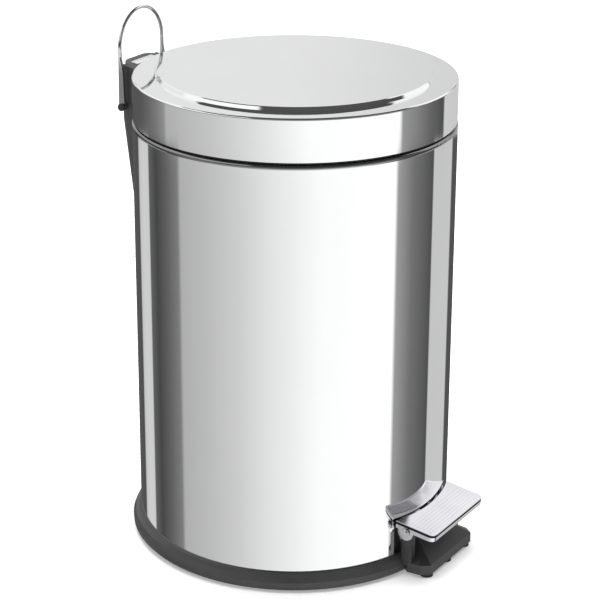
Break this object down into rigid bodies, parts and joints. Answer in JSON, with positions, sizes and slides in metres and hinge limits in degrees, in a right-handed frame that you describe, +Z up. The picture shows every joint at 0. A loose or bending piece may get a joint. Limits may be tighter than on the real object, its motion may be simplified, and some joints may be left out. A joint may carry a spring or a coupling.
{
  "type": "pedal bin",
  "caption": "Round stainless pedal bin with a domed-edge lid on a rear hinge, front foot pedal, lift-out inner bucket, push-rod linkage and a folding carry handle.",
  "frame": {"origin": "on the floor, on the axis of the round body", "axes": "+Z up, -Y towards the pedal, +Y towards the lid hinge, X along the lid hinge pin"},
  "size_m": [0.2632, 0.3057, 0.411],
  "materials": {
    "stainless": "mirror polished stainless steel",
    "satin_steel": "satin pressed steel with grip ribs",
    "black_plastic": "matt black polypropylene",
    "grey_plastic": "dark grey moulded polypropylene",
    "rubber": "soft black rubber",
    "zinc": "bright zinc plated steel",
    "label": "blank satin plate"
  },
  "bodies": {
    "bin": {"body_shell": "stainless", "base_ring": "black_plastic", "bottom_plate": "zinc", "plate_screws": "zinc", "foot_pads": "rubber", "rim_ring": "black_plastic", "rim_buffers": "rubber", "hinge_housing": "black_plastic", "housing_screws": "zinc", "hinge_pin": "zinc", "handle_pins": "stainless", "upper_guide": "black_plastic", "lower_guide": "black_plastic", "guide_rivets": "zinc", "pedal_pin": "stainless", "pin_clips": "zinc", "inner_bucket": "grey_plastic", "bail_studs": "zinc"},
    "lid": {"lid_shell": "stainless", "lid_liner": "black_plastic", "lid_lever": "zinc", "lever_rivets": "zinc", "hinge_cap": "black_plastic", "label_plate": "label", "cap_screws": "zinc"},
    "pedal": {"pedal_tread": "satin_steel", "pedal_arm": "zinc", "arm_rivets": "zinc"},
    "rod": {"push_rod": "zinc", "rod_foot": "zinc", "rod_pin": "zinc"},
    "handle": {"carry_handle": "stainless"},
    "bail": {"bucket_bail": "zinc", "bail_grip": "black_plastic"}
  },
  "joints": [
    {"name": "lid_hinge", "type": "hinge", "parent": "bin", "child": "lid", "pos_m": [0, 0.135, 0.36], "axis": [-1, 0, 0], "range_deg": [0, 64]},
    {"name": "pedal_hinge", "type": "hinge", "parent": "bin", "child": "pedal", "pos_m": [0, -0.128, 0.038], "axis": [1, 0, 0], "range_deg": [0, 18]},
    {"name": "rod_slide", "type": "slide", "parent": "bin", "child": "rod", "axis": [0, 0, 1], "range_m": [0, 0.0225]},
    {"name": "handle_hinge", "type": "hinge", "parent": "bin", "child": "handle", "pos_m": [0, 0.1438, 0.3345], "axis": [-1, 0, 0], "range_deg": [0, 165]},
    {"name": "bail_hinge", "type": "hinge", "parent": "bin", "child": "bail", "pos_m": [0, 0, 0.3505], "axis": [-1, 0, 0], "range_deg": [0, 10]}
  ],
  "couplings": [
    {"joint": "pedal_hinge", "follows": "lid_hinge", "ratio": 0.28125},
    {"joint": "rod_slide", "follows": "lid_hinge", "m_per_rad": 0.020139}
  ]
}
